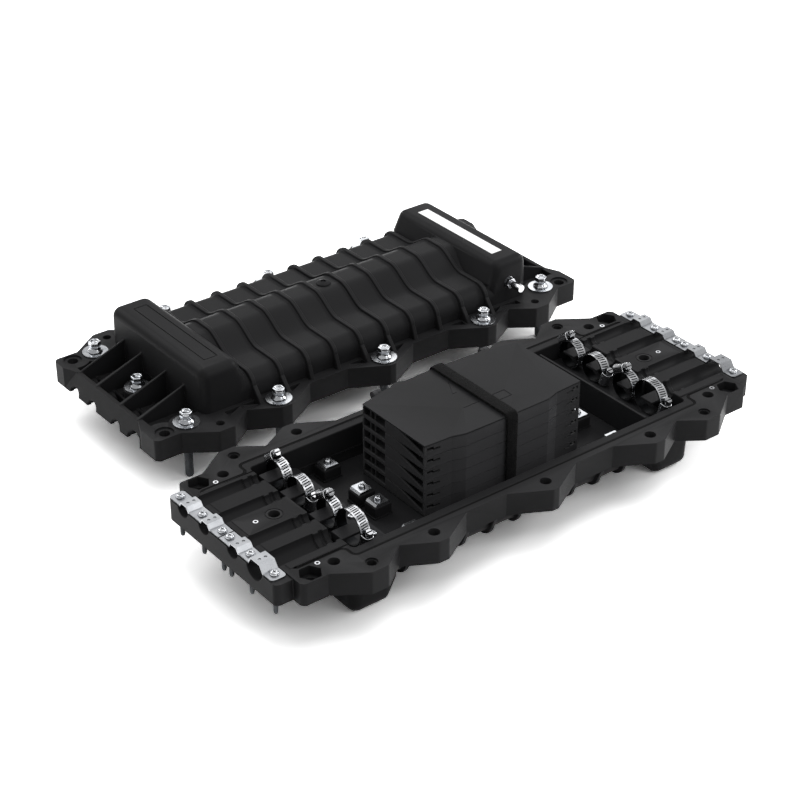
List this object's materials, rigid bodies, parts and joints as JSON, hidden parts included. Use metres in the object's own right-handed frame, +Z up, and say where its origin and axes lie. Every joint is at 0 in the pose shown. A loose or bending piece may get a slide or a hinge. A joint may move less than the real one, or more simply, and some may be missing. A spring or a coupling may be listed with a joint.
{
  "type": "inline splice closure",
  "caption": "Opened inline fibre splice closure: ribbed black base with hinged splice trays, cable clamps and saddles, and its bolted dome cover standing behind.",
  "frame": {"origin": "centre of the overall box at the height of the surface that the base and the cover's bolts stand on", "axes": "+X along the closure to the end with the air valve, +Y from the base towards the cover that stands behind it, +Z up"},
  "size_m": [0.5168, 0.4604, 0.103],
  "materials": {
    "shell_plastic": "black glass-filled polypropylene, finely textured",
    "inner_plastic": "black moulded plastic, satin",
    "tray_plastic": "dark grey-black moulded plastic, satin",
    "holder_foam": "soft black comb",
    "seal_rubber": "black rubber cord",
    "strap_fabric": "black hook and loop strap",
    "label_paper": "blank white label",
    "insert_brass": "machined",
    "valve_chrome": "nickel plated, bright",
    "clamp_steel": "stainless band",
    "zinc_steel": "bright zinc plated"
  },
  "bodies": {
    "base": {"base_shell": "shell_plastic", "mounting_plate": "shell_plastic", "seal_gasket": "seal_rubber", "threaded_inserts": "insert_brass", "left_clamp_bracket": "inner_plastic", "left_bracket_screws": "zinc_steel", "left_rear_saddle": "zinc_steel", "left_front_saddle": "zinc_steel", "left_saddle_screws": "zinc_steel", "left_anchor_blocks": "inner_plastic", "left_anchor_plates": "zinc_steel", "left_anchor_screws": "zinc_steel", "right_clamp_bracket": "inner_plastic", "right_bracket_screws": "zinc_steel", "right_rear_saddle": "zinc_steel", "right_front_saddle": "zinc_steel", "right_saddle_screws": "zinc_steel", "right_anchor_blocks": "inner_plastic", "right_anchor_plates": "zinc_steel", "right_anchor_screws": "zinc_steel", "left_clamp_1": "clamp_steel", "left_clamp_2": "clamp_steel", "left_clamp_3": "clamp_steel", "left_clamp_4": "clamp_steel", "left_worm_screw_1": "clamp_steel", "left_worm_screw_2": "clamp_steel", "left_worm_screw_3": "clamp_steel", "left_worm_screw_4": "clamp_steel", "right_clamp_1": "clamp_steel", "right_clamp_2": "clamp_steel", "right_clamp_3": "clamp_steel", "right_clamp_4": "clamp_steel", "right_worm_screw_1": "clamp_steel", "right_worm_screw_2": "clamp_steel", "right_worm_screw_3": "clamp_steel", "right_worm_screw_4": "clamp_steel", "tray_carrier": "inner_plastic", "tray_1": "tray_plastic", "splice_holder_1": "holder_foam", "tray_strap": "strap_fabric"},
    "tray_2_body": {"tray_2": "tray_plastic", "splice_holder_2": "holder_foam"},
    "tray_3_body": {"tray_3": "tray_plastic", "splice_holder_3": "holder_foam"},
    "tray_4_body": {"tray_4": "tray_plastic", "splice_holder_4": "holder_foam"},
    "tray_5_body": {"tray_5": "tray_plastic", "splice_holder_5": "holder_foam"},
    "tray_6_body": {"tray_6": "tray_plastic", "splice_holder_6": "holder_foam", "tray_lid": "tray_plastic"},
    "cover": {"cover_shell": "shell_plastic", "cover_bolts": "zinc_steel", "cover_washers": "zinc_steel", "dome_plug": "shell_plastic", "valve_body": "valve_chrome", "valve_nut": "valve_chrome", "blank_label": "label_paper"},
    "valve_cap_body": {"valve_cap": "valve_chrome"}
  },
  "joints": [
    {"name": "tray_2_swing", "type": "hinge", "parent": "base", "child": "tray_2_body", "pos_m": [-0.00535, -0.0677, 0.0506], "axis": [-1, 0, 0], "range_deg": [0, 21], "deforming": ["tray_strap"]},
    {"name": "tray_3_swing", "type": "hinge", "parent": "tray_2_body", "child": "tray_3_body", "pos_m": [-0.00535, -0.0677, 0.0616], "axis": [-1, 0, 0], "range_deg": [0, 21], "deforming": ["tray_strap"]},
    {"name": "tray_4_swing", "type": "hinge", "parent": "tray_3_body", "child": "tray_4_body", "pos_m": [-0.00535, -0.0677, 0.0726], "axis": [-1, 0, 0], "range_deg": [0, 21], "deforming": ["tray_strap"]},
    {"name": "tray_5_swing", "type": "hinge", "parent": "tray_4_body", "child": "tray_5_body", "pos_m": [-0.00535, -0.0677, 0.0836], "axis": [-1, 0, 0], "range_deg": [0, 21], "deforming": ["tray_strap"]},
    {"name": "tray_6_swing", "type": "hinge", "parent": "tray_5_body", "child": "tray_6_body", "pos_m": [-0.00535, -0.0677, 0.0946], "axis": [-1, 0, 0], "range_deg": [0, 21], "deforming": ["tray_strap"]},
    {"name": "cover_lift", "type": "slide", "parent": "base", "child": "cover", "axis": [0, 0, 1], "range_m": [0, 0.12]},
    {"name": "valve_cap_spin", "type": "hinge", "parent": "cover", "child": "valve_cap_body", "pos_m": [0.18135, 0.0517, 0.0725], "axis": [0, -1, 0], "continuous": true}
  ]
}
